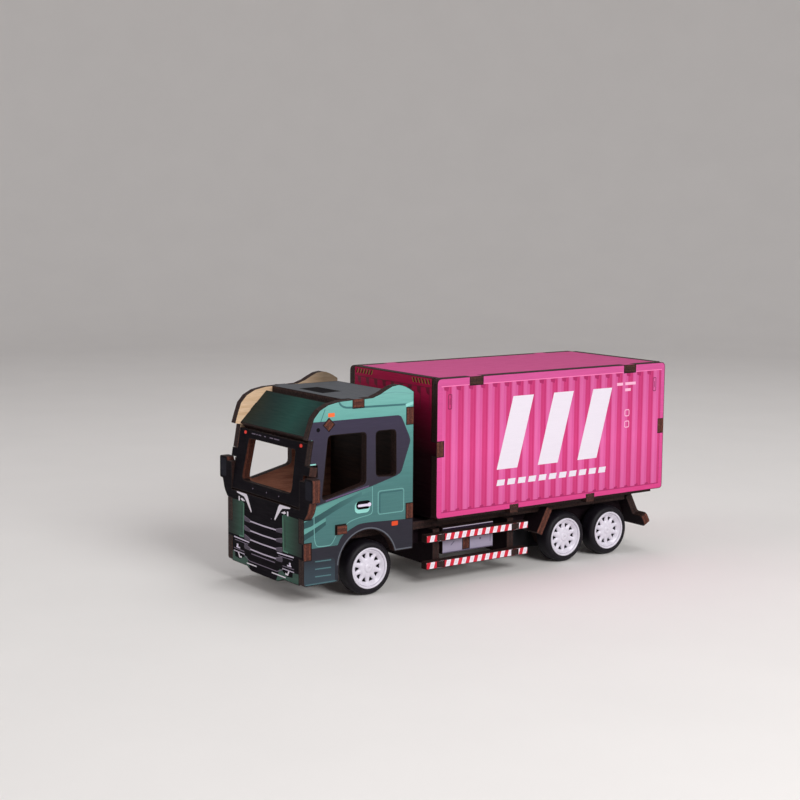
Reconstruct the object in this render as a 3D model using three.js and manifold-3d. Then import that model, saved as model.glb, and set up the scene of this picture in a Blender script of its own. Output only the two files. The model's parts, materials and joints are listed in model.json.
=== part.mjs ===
// A push-fit plywood container lorry: laser-cut 3 mm panels joined by tabs and slots, six plastic
// wheels on three steel axles, and a pull-back spring motor on the middle axle.
// Millimetres, +Z up. The lorry faces -Y and its left side is +X. Panels are drawn with y counted
// back from the front panel's face, and the whole model is shifted so that its middle is at y = 0.
import * as THREE from "three";
import { mergeVertices } from "three/addons/utils/BufferGeometryUtils.js";
import Module from "manifold-3d";

const wasm = await Module();
wasm.setup();

// Driving dimensions
const PLY = 3; // sheet thickness
const PLAY = 0.1; // gap between a tab or an edge and the panel it meets
const LENGTH = 169; // front panel to the container's rear edge
const CAB_HALF = 26.2; // outer face of a cab side
const CAB_INNER = CAB_HALF - PLY;
const CAB_REAR = 46.1;
const EAR_HALF = 32; // over the mirror ears
const BOX_HALF = 28; // outer face of a container side
const BOX_INNER = BOX_HALF - PLY;
const BOX_FRONT = 55.1;
const BOX_REAR = LENGTH;
const BOX_BASE = 25;
const BOX_TOP = 76;
const DECK_HALF = 20;
const DECK_BASE = 20.3;
const DECK_TOP = DECK_BASE + PLY;
const DECK_REAR = 157;
const RAIL_INNER = 11; // inner face of a chassis rail
const RAIL_BASE = 13.5;
const WHEEL_RADIUS = 9.75;
const RIM_RADIUS = 7.45;
const WHEEL_OUTER = 24.3; // outer face of a tyre
const WHEEL_WIDTH = 7;
const AXLE_RADIUS = 1;
const AXLE_HALF = 23;
const AXLES = { front: 28.9, drive: 121.3, rear: 144.1 };
const ROUND = 28; // facets round a wheel
const RAKE = THREE.MathUtils.degToRad(9.5); // lean of the windscreen panel
const KINK = 34.5; // height where the windscreen panel starts
const FLAP_LEAN = THREE.MathUtils.degToRad(27.8); // lean of the mudflaps and the bumper plate

// Materials
const paint = (color, roughness = 0.55, metalness = 0) =>
  new THREE.MeshStandardMaterial({ color, roughness, metalness });
const TEAL = paint(0x6fb0a8);
const NIGHT = paint(0x1b1424);
const GREEN = paint(0x2c4a4a);
const GREY = paint(0x66666c);
const PINK = paint(0xdd3f86);
const WOOD = paint(0xc79a72, 0.8);
const DARK_WOOD = paint(0x4a2a20, 0.8);
const HAZARD = paint(0xc01f35);
const SILVER = paint(0xa79db0);
const TYRE = paint(0x18141a, 0.7);
const RIM = paint(0xeae6f0, 0.35);
const STEEL = paint(0xb8b8bc, 0.3, 0.9);
const NYLON = paint(0xe6dfc8, 0.5);
const HOUSING = paint(0x2b2b30, 0.5);

const model = new THREE.Group();
model.position.set(0, -LENGTH / 2, 0);

function add(name, geometry, material, place) {
  const mesh = new THREE.Mesh(geometry, material);
  mesh.name = name;
  if (place) place(mesh);
  model.add(mesh);
  return mesh;
}

// Adds a polygon to a Shape or Path. A point is [u, v] or [u, v, r], where r rounds the corner.
function trace(path, points) {
  const count = points.length;
  for (let i = 0; i < count; i++) {
    const [u, v, r = 0] = points[i];
    const here = new THREE.Vector2(u, v);
    if (!r) {
      if (i === 0) path.moveTo(u, v);
      else path.lineTo(u, v);
      continue;
    }
    const before = new THREE.Vector2(...points[(i + count - 1) % count]);
    const after = new THREE.Vector2(...points[(i + 1) % count]);
    const start = before.sub(here).setLength(r).add(here);
    const end = after.sub(here).setLength(r).add(here);
    if (i === 0) path.moveTo(start.x, start.y);
    else path.lineTo(start.x, start.y);
    path.quadraticCurveTo(u, v, end.x, end.y);
  }
  path.closePath();
  return path;
}

const outline = (points) => trace(new THREE.Shape(), points);
const opening = (points) => trace(new THREE.Path(), points);

const slot = (u0, u1, v0, v1, r = 0) =>
  opening([[u0, v0, r], [u1, v0, r], [u1, v1, r], [u0, v1, r]]);

function roundHole(u, v, radius) {
  const path = new THREE.Path();
  path.absarc(u, v, radius, 0, 2 * Math.PI, true);
  return path;
}

// A three.js geometry as a manifold-3d solid, and back.
function solid(geometry) {
  const plain = geometry.clone();
  plain.deleteAttribute("normal");
  plain.deleteAttribute("uv");
  const merged = mergeVertices(plain, 1e-4);
  const vertProperties = new Float32Array(merged.attributes.position.array);
  const triVerts = new Uint32Array(merged.index.array);
  return new wasm.Manifold(new wasm.Mesh({ numProp: 3, vertProperties, triVerts }));
}

function geometryOf(manifold) {
  const mesh = manifold.getMesh();
  const geometry = new THREE.BufferGeometry();
  geometry.setAttribute("position", new THREE.BufferAttribute(mesh.vertProperties, 3));
  geometry.setIndex(new THREE.BufferAttribute(mesh.triVerts, 1));
  geometry.computeVertexNormals();
  return geometry;
}

const thick = (shape, depth, from, curveSegments = 10) =>
  new THREE.ExtrudeGeometry(shape, { depth, bevelEnabled: false, curveSegments }).translate(0, 0, from);

// A sheet of the shape's outline with its holes sawn through.
function sheet(shape, thickness, curveSegments) {
  let whole = solid(thick(new THREE.Shape(shape.getPoints(curveSegments)), thickness, 0));
  for (const hole of shape.holes) {
    const plug = new THREE.Shape(hole.getPoints(curveSegments));
    whole = whole.subtract(solid(thick(plug, thickness + 2, -1)));
  }
  return geometryOf(whole);
}

// Cuts a panel from plywood: the shape lies in the plane of the directions u and v through
// origin, and the thickness runs along u x v.
function panel(name, shape, material, origin, u, v) {
  const across = new THREE.Vector3().crossVectors(u, v);
  return add(name, sheet(shape, PLY, 4), material, (mesh) => {
    mesh.quaternion.setFromRotationMatrix(new THREE.Matrix4().makeBasis(u, v, across));
    mesh.position.copy(origin);
  });
}

const X = new THREE.Vector3(1, 0, 0);
const Y = new THREE.Vector3(0, 1, 0);
const Z = new THREE.Vector3(0, 0, 1);
const at = (x, y, z) => new THREE.Vector3(x, y, z);
const upright = (name, shape, material, x) => panel(name, shape, material, at(x, 0, 0), Y, Z);
const across = (name, shape, material, y) => panel(name, shape, material, at(0, y + PLY, 0), X, Z);
const level = (name, shape, material, z) => panel(name, shape, material, at(0, 0, z), X, Y);

// Repeats a half outline on the other side: points run up the +u side, then down the -u side.
const bothSides = (half) => [...half, ...half.map(([u, v, r]) => [-u, v, r]).reverse()];

const SIDES = [["left", 1], ["right", -1]];
const plateStart = (side, outer) => (side > 0 ? outer - PLY : -outer);

// Cab
const windscreenY = (z) => (z - KINK) * Math.tan(RAKE);
const EAR = { low: 30.7, step: 37.2, top: 45.4 };
const FRONT_TAB = [16.5, 22.3];
const SCREEN_TAB = [45.7, 48.9];
const REAR_TABS = [[26.5, 31.8], [60.5, 66.3]];
const CAB_FLOOR = { base: 24.3, tab: [13.1, 17.2] };
const ROOF = { base: 67.9, front: 17.3, tab: [20.2, 24.6] };
const SEAM = 33.9; // top edge of the front panel, under the windscreen panel
const VISOR = { foot: [3.7, 58.3], length: 15.6, tab: [6.3, 9.3] };
const NOTCH = PLY + PLAY;

function cabSide() {
  const [frontLow, frontHigh] = FRONT_TAB;
  const [screenLow, screenHigh] = SCREEN_TAB;
  const arch = { y: 26.4, z: 12.4, radius: 12 };
  const sill = 15.2;
  const notchBack = windscreenY(screenHigh) + PLY / Math.cos(RAKE) + PLAY;
  const shape = new THREE.Shape();
  shape.moveTo(1.2, 7.3);
  shape.quadraticCurveTo(0, 7.3, 0, 8.5);
  const line = (...points) => points.forEach(([y, z]) => shape.lineTo(y, z));
  line([0, frontLow - PLAY], [NOTCH, frontLow - PLAY]);
  line([NOTCH, frontHigh + PLAY], [0, frontHigh + PLAY], [0, EAR.low - PLAY]);
  line([NOTCH, EAR.low - PLAY], [NOTCH, screenLow - 0.7], [notchBack, screenLow - 0.7]);
  line([notchBack, screenHigh + 0.2], [windscreenY(screenHigh), screenHigh + 0.2]);
  line([windscreenY(57.6), 57.6], [1.6, 58], [2.8, 61.8]);
  shape.quadraticCurveTo(4.3, 69.8, 14.5, 70.6);
  line([ROOF.tab[0] - PLAY, 70.8], [ROOF.tab[0] - PLAY, ROOF.base - PLAY]);
  line([ROOF.tab[1] + PLAY, ROOF.base - PLAY], [ROOF.tab[1] + PLAY, 70.8], [28.4, 71]);
  shape.bezierCurveTo(33, 72, 35.4, 75, 39.4, 74.9);
  shape.quadraticCurveTo(42.4, 74.6, CAB_REAR, 72);
  for (const [low, high] of [...REAR_TABS].reverse()) {
    line([CAB_REAR, high + PLAY], [CAB_REAR - NOTCH, high + PLAY]);
    line([CAB_REAR - NOTCH, low - PLAY], [CAB_REAR, low - PLAY]);
  }
  line([CAB_REAR, sill]);
  const start = Math.asin((sill - arch.z) / arch.radius);
  const turns = 12;
  for (let i = 0; i <= turns; i++) {
    const angle = start + ((Math.PI - start) * i) / turns;
    line([arch.y + arch.radius * Math.cos(angle), arch.z + arch.radius * Math.sin(angle)]);
  }
  line([arch.y - arch.radius, 7.3]);
  const doorWindow = [[7.4, 36.6, 2], [25.7, 40.9, 1.5], [25.7, 59, 1.5], [10, 59, 1.5]];
  const rearWindow = [[30, 43, 1.6], [38.6, 42.4, 1.6], [38.4, 59, 1.6], [29.8, 59, 1.6]];
  shape.holes.push(opening(doorWindow), opening(rearWindow));
  const [footY, footZ] = VISOR.foot;
  const middle = VISOR.length / 2;
  const centre = {
    y: footY + (middle + PLY / 2) * Math.SQRT1_2,
    z: footZ + (middle - PLY / 2) * Math.SQRT1_2,
  };
  const reach = ((PLY + 2 * PLAY) / 2) * Math.SQRT2;
  const diamond = [0, 1, 2, 3].map((i) => [
    centre.y + reach * Math.cos((i * Math.PI) / 2),
    centre.z + reach * Math.sin((i * Math.PI) / 2),
  ]);
  shape.holes.push(opening(diamond));
  const peg = CAB_FLOOR;
  shape.holes.push(
    slot(peg.tab[0] - PLAY, peg.tab[1] + PLAY, peg.base - PLAY, peg.base + PLY + PLAY),
  );
  return shape;
}

function buildCab() {
  for (const [label, side] of SIDES) {
    upright(`cab_side_${label}`, cabSide(), TEAL, plateStart(side, CAB_HALF));
  }
  const inner = CAB_INNER - PLAY;
  const [tabLow, tabHigh] = FRONT_TAB;
  const earInner = CAB_INNER + 0.2;
  across("cab_front_panel", outline(bothSides([
    [9.5, 5.9, 1.5], [12.4, 7.3], [inner, 7.3], [inner, tabLow], [CAB_HALF, tabLow],
    [CAB_HALF, tabHigh], [inner, tabHigh], [inner, EAR.low], [26.4, EAR.low, 0.5], [28.6, 33, 1.5],
    [30, EAR.step, 0.4], [EAR_HALF, EAR.step, 0.8], [EAR_HALF, EAR.top, 1], [27, EAR.top, 0.6],
    [26.6, EAR.top - 1.4], [earInner, EAR.top - 1.4], [earInner, SEAM],
  ])), NIGHT, 0);

  const up = at(0, Math.sin(RAKE), Math.cos(RAKE));
  const along = (z) => (z - KINK) / Math.cos(RAKE);
  const back = at(0, PLY * Math.cos(RAKE), KINK - PLY * Math.sin(RAKE));
  const screen = outline(bothSides([
    [inner, 0], [inner, along(SCREEN_TAB[0])], [CAB_HALF + 0.4, along(SCREEN_TAB[0])],
    [CAB_HALF + 0.4, along(SCREEN_TAB[1])], [inner, along(SCREEN_TAB[1])], [inner, along(56.5)],
  ]));
  screen.holes.push(opening(bothSides([[17.2, along(38.2), 2.5], [16, along(53.4), 1]])));
  panel("cab_windscreen_panel", screen, NIGHT, back, X, up);

  const slope = at(0, Math.SQRT1_2, Math.SQRT1_2);
  const [footY, footZ] = VISOR.foot;
  const inward = PLY * Math.SQRT1_2;
  panel("cab_visor", outline(bothSides([
    [inner, 0], [inner, VISOR.tab[0]], [CAB_HALF, VISOR.tab[0]],
    [CAB_HALF, VISOR.tab[1]], [inner, VISOR.tab[1]], [inner, VISOR.length],
  ])), GREEN, at(0, footY + inward, footZ - inward), X, slope);

  level("cab_roof", outline(bothSides([
    [inner, ROOF.front], [inner, ROOF.tab[0]], [CAB_HALF, ROOF.tab[0]],
    [CAB_HALF, ROOF.tab[1]], [inner, ROOF.tab[1]], [inner, CAB_REAR],
  ])), GREY, ROOF.base);

  const rear = [[3, DECK_BASE], [8, DECK_BASE], [8, DECK_TOP + PLAY], [inner, DECK_TOP + PLAY]];
  for (const [low, high] of REAR_TABS) {
    rear.push([inner, low], [CAB_HALF, low], [CAB_HALF, high], [inner, high]);
  }
  rear.push([inner, ROOF.base - PLAY]);
  const foot = [[-3, DECK_TOP + PLAY], [3, DECK_TOP + PLAY]];
  across("cab_rear_panel", outline([...foot, ...bothSides(rear)]), NIGHT, CAB_REAR - PLY);

  const [pegStart, pegEnd] = CAB_FLOOR.tab;
  level("cab_floor", outline(bothSides([
    [inner, NOTCH], [inner, pegStart], [CAB_HALF + 1, pegStart],
    [CAB_HALF + 1, pegEnd], [inner, pegEnd], [inner, CAB_REAR - NOTCH],
  ])), WOOD, CAB_FLOOR.base);
}

// Container
const BOX_ROOF_TABS = [[70.1, 75.9], [146.8, 152.7]];
const BOX_FLOOR_TABS = [[89.8, 93.5], [128.2, 132]];
const BOX_WALL_TAB = [47.8, 53.1];
const BOX_FLOOR_BASE = 23.4;

function containerSide() {
  const [wallLow, wallHigh] = BOX_WALL_TAB;
  const floorTop = BOX_FLOOR_BASE + PLY + PLAY;
  const roofBase = BOX_TOP - NOTCH;
  const points = [[BOX_FRONT, BOX_BASE, 1.5]];
  for (const [start, end] of BOX_FLOOR_TABS) {
    points.push([start - PLAY, BOX_BASE], [start - PLAY, floorTop]);
    points.push([end + PLAY, floorTop], [end + PLAY, BOX_BASE]);
  }
  points.push([BOX_REAR, BOX_BASE, 1.5], [BOX_REAR, wallLow - PLAY], [BOX_REAR - NOTCH, wallLow - PLAY]);
  points.push([BOX_REAR - NOTCH, wallHigh + PLAY], [BOX_REAR, wallHigh + PLAY], [BOX_REAR, BOX_TOP, 2]);
  for (const [start, end] of [...BOX_ROOF_TABS].reverse()) {
    points.push([end + PLAY, BOX_TOP], [end + PLAY, roofBase]);
    points.push([start - PLAY, roofBase], [start - PLAY, BOX_TOP]);
  }
  points.push([BOX_FRONT, BOX_TOP, 2], [BOX_FRONT, wallHigh + PLAY], [BOX_FRONT + NOTCH, wallHigh + PLAY]);
  points.push([BOX_FRONT + NOTCH, wallLow - PLAY], [BOX_FRONT, wallLow - PLAY]);
  return outline(points);
}

// The edge of a level plate on the +x side, from y0 to y1, with tabs out to reach.
function tabbedEdge(edge, reach, y0, y1, tabs) {
  const points = [[edge, y0]];
  for (const [start, end] of tabs) {
    points.push([edge, start], [reach, start], [reach, end], [edge, end]);
  }
  points.push([edge, y1]);
  return points;
}

const RAIL_TABS = [[36, 41], [78, 84], [133, 139]]; // along the top of each chassis rail
const railSlots = (tabs) =>
  SIDES.flatMap(([, side]) =>
    tabs.map(([start, end]) => {
      const near = side * (RAIL_INNER - PLAY);
      const far = side * (RAIL_INNER + PLY + PLAY);
      return slot(Math.min(near, far), Math.max(near, far), start - PLAY, end + PLAY);
    }),
  );

function buildContainer() {
  for (const [label, side] of SIDES) {
    upright(`container_side_${label}`, containerSide(), PINK, plateStart(side, BOX_HALF));
  }
  const inner = BOX_INNER - PLAY;
  level("container_roof",
    outline(bothSides(
      tabbedEdge(inner, BOX_HALF, BOX_FRONT + PLY + PLAY, BOX_REAR - PLY - PLAY, BOX_ROOF_TABS))),
    PINK, BOX_TOP - PLY);
  const [wallLow, wallHigh] = BOX_WALL_TAB;
  const wall = () => outline(bothSides([
    [inner, BOX_BASE], [inner, wallLow], [BOX_HALF, wallLow],
    [BOX_HALF, wallHigh], [inner, wallHigh], [inner, BOX_TOP],
  ]));
  across("container_front_wall", wall(), PINK, BOX_FRONT);
  across("container_rear_wall", wall(), PINK, BOX_REAR - PLY);
  const floor = outline(bothSides(
    tabbedEdge(inner, BOX_HALF, BOX_FRONT + NOTCH, BOX_REAR - NOTCH, BOX_FLOOR_TABS)));
  floor.holes.push(...railSlots(RAIL_TABS.slice(1)));
  level("container_floor", floor, DARK_WOOD, BOX_FLOOR_BASE);
}

// Chassis
const GUARD = { start: 52.3, end: 100.3, height: 2.8, levels: { upper: 16.2, lower: 6.3 } };
const GUARD_OUTER = 26.2;
const BRACKETS = { front: 57.4, rear: 92.5 };
const TOOLBOX = { start: 62, end: 86, base: 10.3, outer: 22.8, tab: [11.2, 15.6] };
const TOOLBOX_BRACKET = 71.6;
const FLAP = { y: 107.9, z: 12.7, length: 10.5, tab: [3.2, 6.4] };
const BUMPER = { y: 158.6, z: 21.8, length: 13.5, neck: 8.6, tab: [2.2, 6] };

// Slots from the top edge of a cross plate down to the underside of the chassis rails.
const railNotches = [
  [RAIL_INNER + PLY + PLAY, DECK_BASE - PLAY], [RAIL_INNER + PLY + PLAY, RAIL_BASE - PLAY],
  [RAIL_INNER - PLAY, RAIL_BASE - PLAY], [RAIL_INNER - PLAY, DECK_BASE - PLAY],
];

// The front mudflaps lean forward at the foot, the bumper plate leans back.
const flapUp = at(0, Math.sin(FLAP_LEAN), Math.cos(FLAP_LEAN));
const bumperDown = at(0, Math.sin(FLAP_LEAN), -Math.cos(FLAP_LEAN));
const bumperOut = at(0, Math.cos(FLAP_LEAN), Math.sin(FLAP_LEAN));

function chassisRail() {
  const top = DECK_BASE - PLAY;
  const shape = new THREE.Shape();
  const line = (...points) => points.forEach(([y, z]) => shape.lineTo(y, z));
  shape.moveTo(6, top);
  line([6, RAIL_BASE], [21, RAIL_BASE], [24.4, 6.6]);
  shape.quadraticCurveTo(28.9, 4, 33.4, 6.6);
  line([36.8, RAIL_BASE], [113, RAIL_BASE], [116.6, 6.6]);
  shape.quadraticCurveTo(118, 5.2, 121, 5.2);
  line([144.4, 5.2]);
  shape.quadraticCurveTo(147.4, 5.2, 148.8, 6.6);
  line([152, RAIL_BASE]);
  const face = at(0, BUMPER.y, BUMPER.z).addScaledVector(bumperOut, -PLY / 2 - PLAY);
  const onFace = (down, out = 0) => {
    const p = face.clone().addScaledVector(bumperDown, down).addScaledVector(bumperOut, out);
    return [p.y, p.z];
  };
  const reach = PLY + PLAY;
  line(onFace((face.z - RAIL_BASE) / Math.cos(FLAP_LEAN)));
  line(onFace(BUMPER.tab[1]), onFace(BUMPER.tab[1], reach), onFace(BUMPER.tab[0], reach));
  line(onFace(BUMPER.tab[0]), onFace((face.z - top) / Math.cos(FLAP_LEAN)));
  RAIL_TABS.slice().reverse().forEach(([start, end], i) => {
    const crown = i < 2 ? BOX_FLOOR_BASE + PLY : DECK_TOP;
    line([end, top], [end, crown], [start, crown], [start, top]);
  });
  for (const y of Object.values(AXLES)) {
    shape.holes.push(roundHole(y, WHEEL_RADIUS, AXLE_RADIUS + 0.18));
  }
  const foot = at(0, FLAP.y, FLAP.z);
  const flapAcross = at(0, Math.cos(FLAP_LEAN), -Math.sin(FLAP_LEAN));
  const corner = (u, v) => {
    const p = foot.clone().addScaledVector(flapUp, u).addScaledVector(flapAcross, v);
    return [p.y, p.z];
  };
  const [low, high] = [FLAP.tab[0] - PLAY, FLAP.tab[1] + PLAY];
  const half = PLY / 2 + PLAY;
  shape.holes.push(opening([
    corner(low, -half), corner(low, half), corner(high, half), corner(high, -half),
  ]));
  return shape;
}

function buildChassis() {
  const deck = outline(bothSides([[DECK_HALF, NOTCH + PLAY, 1.5], [DECK_HALF, DECK_REAR, 1.5]]));
  deck.holes.push(...railSlots(RAIL_TABS));
  for (const side of [-1, 1]) {
    const near = Math.min(side * 2.9, side * 8.1);
    deck.holes.push(slot(near, near + 5.2, CAB_REAR - PLY - PLAY, CAB_REAR + PLAY));
  }
  level("chassis_deck", deck, DARK_WOOD, DECK_BASE);
  for (const [label, side] of SIDES) {
    upright(`chassis_rail_${label}`, chassisRail(), DARK_WOOD, plateStart(side, RAIL_INNER + PLY));
    for (const [place, base] of Object.entries(GUARD.levels)) {
      const rail = outline([[GUARD.start, base, 0.4], [GUARD.end, base, 0.4],
        [GUARD.end, base + GUARD.height, 0.4], [GUARD.start, base + GUARD.height, 0.4]]);
      for (const y of Object.values(BRACKETS)) {
        rail.holes.push(slot(y - PLAY, y + PLY + PLAY, base + 0.4, base + GUARD.height - 0.4));
      }
      upright(`side_guard_${place}_${label}`, rail, HAZARD, plateStart(side, GUARD_OUTER));
    }
    const box = outline([[TOOLBOX.start, TOOLBOX.base], [TOOLBOX.end, TOOLBOX.base],
      [TOOLBOX.end, DECK_BASE - PLAY], [TOOLBOX.start, DECK_BASE - PLAY]]);
    const { tab } = TOOLBOX;
    const bracketEnd = TOOLBOX_BRACKET + PLY;
    box.holes.push(slot(TOOLBOX_BRACKET - PLAY, bracketEnd + PLAY, tab[0] - PLAY, tab[1] + PLAY));
    upright(`toolbox_panel_${label}`, box, SILVER, plateStart(side, TOOLBOX.outer));
    const reach = side * (RAIL_INNER + PLY + PLAY);
    const tip = side * RAIL_INNER;
    const end = side * 24;
    const deckEdge = side * (DECK_HALF + PLAY);
    const flap = outline([[reach, 0], [end, 0], [end, FLAP.length], [deckEdge, FLAP.length],
      [deckEdge, 7.6], [reach, 7.6], [reach, FLAP.tab[1]], [tip, FLAP.tab[1]],
      [tip, FLAP.tab[0]], [reach, FLAP.tab[0]]]);
    const back = at(0, FLAP.y + (PLY / 2) * Math.cos(FLAP_LEAN), FLAP.z - (PLY / 2) * Math.sin(FLAP_LEAN));
    panel(`mudflap_${label}`, flap, DARK_WOOD, back, X, flapUp);
  }
  const inner = CAB_INNER - PLAY;
  const { upper, lower } = GUARD.levels;
  for (const [label, y] of Object.entries(BRACKETS)) {
    const half = [[inner, lower + 0.1]];
    for (const base of [lower, upper]) {
      half.push([inner, base + 0.5], [GUARD_OUTER, base + 0.5]);
      half.push([GUARD_OUTER, base + GUARD.height - 0.5], [inner, base + GUARD.height - 0.5]);
    }
    half.push([inner, DECK_BASE - PLAY], ...railNotches);
    across(`side_guard_bracket_${label}`, outline(bothSides(half)), DARK_WOOD, y);
  }
  const boxInner = TOOLBOX.outer - PLY - PLAY;
  across("toolbox_bracket", outline(bothSides([
    [boxInner, TOOLBOX.base], [boxInner, TOOLBOX.tab[0]], [TOOLBOX.outer, TOOLBOX.tab[0]],
    [TOOLBOX.outer, TOOLBOX.tab[1]], [boxInner, TOOLBOX.tab[1]], [boxInner, DECK_BASE - PLAY],
    ...railNotches,
  ])), DARK_WOOD, TOOLBOX_BRACKET);

  const bumper = outline(bothSides([
    [19.9, 0], [19.9, BUMPER.neck, 1], [25, BUMPER.neck, 1.5], [25, BUMPER.length, 1.5],
  ]));
  for (const side of [-1, 1]) {
    const near = side > 0 ? RAIL_INNER - PLAY : -RAIL_INNER - PLY - PLAY;
    bumper.holes.push(slot(near, near + PLY + 2 * PLAY, BUMPER.tab[0] - PLAY, BUMPER.tab[1] + PLAY));
  }
  // X x bumperDown points out of the plate's rear face, so the sheet starts at its front face.
  const face = at(0, BUMPER.y, BUMPER.z).addScaledVector(bumperOut, -PLY / 2);
  panel("rear_bumper_plate", bumper, DARK_WOOD, face, X, bumperDown);
}

// Wheels and axles
// Turns a closed profile of [radius, distance along the axis] points into a ring about the X axis.
const ring = (profile) =>
  new THREE.LatheGeometry([...profile, profile[0]].map(([r, x]) => new THREE.Vector2(r, x)), ROUND);

function buildWheels() {
  const half = WHEEL_WIDTH / 2;
  const bead = RIM_RADIUS + 0.05;
  const tyre = [
    [bead, -half], [WHEEL_RADIUS - 0.9, -half], [WHEEL_RADIUS - 0.2, -half + 0.6],
    [WHEEL_RADIUS, -half + 1.5], [WHEEL_RADIUS, half - 1.5], [WHEEL_RADIUS - 0.2, half - 0.6],
    [WHEEL_RADIUS - 0.9, half], [bead, half],
  ];
  const bore = AXLE_RADIUS + 0.05;
  const rim = [
    [bore, -2.8], [2.2, -2.8], [2.2, 0.6], [6.5, 1.2], [6.5, -half + 0.2], [RIM_RADIUS, -half + 0.2],
    [RIM_RADIUS, half - 0.1], [6.6, half - 0.1], [6.3, 2.2], [2.6, 1.8], [bore, 1.8],
  ];
  for (const [axle, y] of Object.entries(AXLES)) {
    const bar = new THREE.CylinderGeometry(AXLE_RADIUS, AXLE_RADIUS, 2 * AXLE_HALF - 0.4, 16);
    add(`${axle}_axle`, bar, STEEL, (mesh) => {
      mesh.rotation.z = -Math.PI / 2;
      mesh.position.set(0, y, WHEEL_RADIUS);
    });
    for (const [label, side] of SIDES) {
      const put = (mesh) => {
        mesh.rotation.z = (-side * Math.PI) / 2;
        mesh.position.set(side * (WHEEL_OUTER - half), y, WHEEL_RADIUS);
      };
      add(`${axle}_tyre_${label}`, ring(tyre), TYRE, put);
      add(`${axle}_rim_${label}`, ring(rim), RIM, put);
    }
  }
}

// Pull-back motor on the middle axle: pinion, compound idler and spring drum in a split housing
const MODULE = 0.4;
const TEETH = { pinion: 12, idlerWheel: 24, idlerPinion: 10, drum: 28 };
const PIN_RADIUS = 0.7;
const IDLER_RISE = 1.2;
const DRUM_RISE = 1.2;

// A spur gear outline with one tooth centred on the angle phase.
function gear(teeth, phase, bore) {
  const pitch = (MODULE * teeth) / 2;
  const step = (2 * Math.PI) / teeth;
  const corners = [[-1.15, -0.29], [0.9, -0.11], [0.9, 0.11], [-1.15, 0.29]];
  const shape = new THREE.Shape();
  for (let i = 0; i < teeth; i++) {
    for (const [rise, part] of corners) {
      const angle = phase + (i + part) * step;
      const radius = pitch + rise * MODULE;
      const point = [radius * Math.cos(angle), radius * Math.sin(angle)];
      if (i === 0 && part === corners[0][1]) shape.moveTo(...point);
      else shape.lineTo(...point);
    }
  }
  shape.closePath();
  shape.holes.push(roundHole(0, 0, bore));
  return shape;
}

const disc = (radius, bore) => {
  const shape = new THREE.Shape();
  shape.absarc(0, 0, radius, 0, 2 * Math.PI, false);
  shape.holes.push(roundHole(0, 0, bore));
  return shape;
};

const union = (...parts) => parts.map(solid).reduce((whole, part) => whole.add(part));

const rod = (radius, length, y, z, sides = 20) =>
  new THREE.CylinderGeometry(radius, radius, length, sides).rotateZ(-Math.PI / 2).translate(0, y, z);

// A flat spiral ribbon, from radius r0 to r1 in the given number of turns.
function spiral(r0, r1, turns, thickness) {
  const steps = turns * 20;
  const edge = (offset) =>
    Array.from({ length: steps + 1 }, (_, i) => {
      const angle = (i / 20) * 2 * Math.PI;
      const radius = r0 + ((r1 - r0) * i) / steps + offset;
      return new THREE.Vector2(radius * Math.cos(angle), radius * Math.sin(angle));
    });
  return new THREE.Shape([...edge(0), ...edge(thickness).reverse()]);
}

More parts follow.
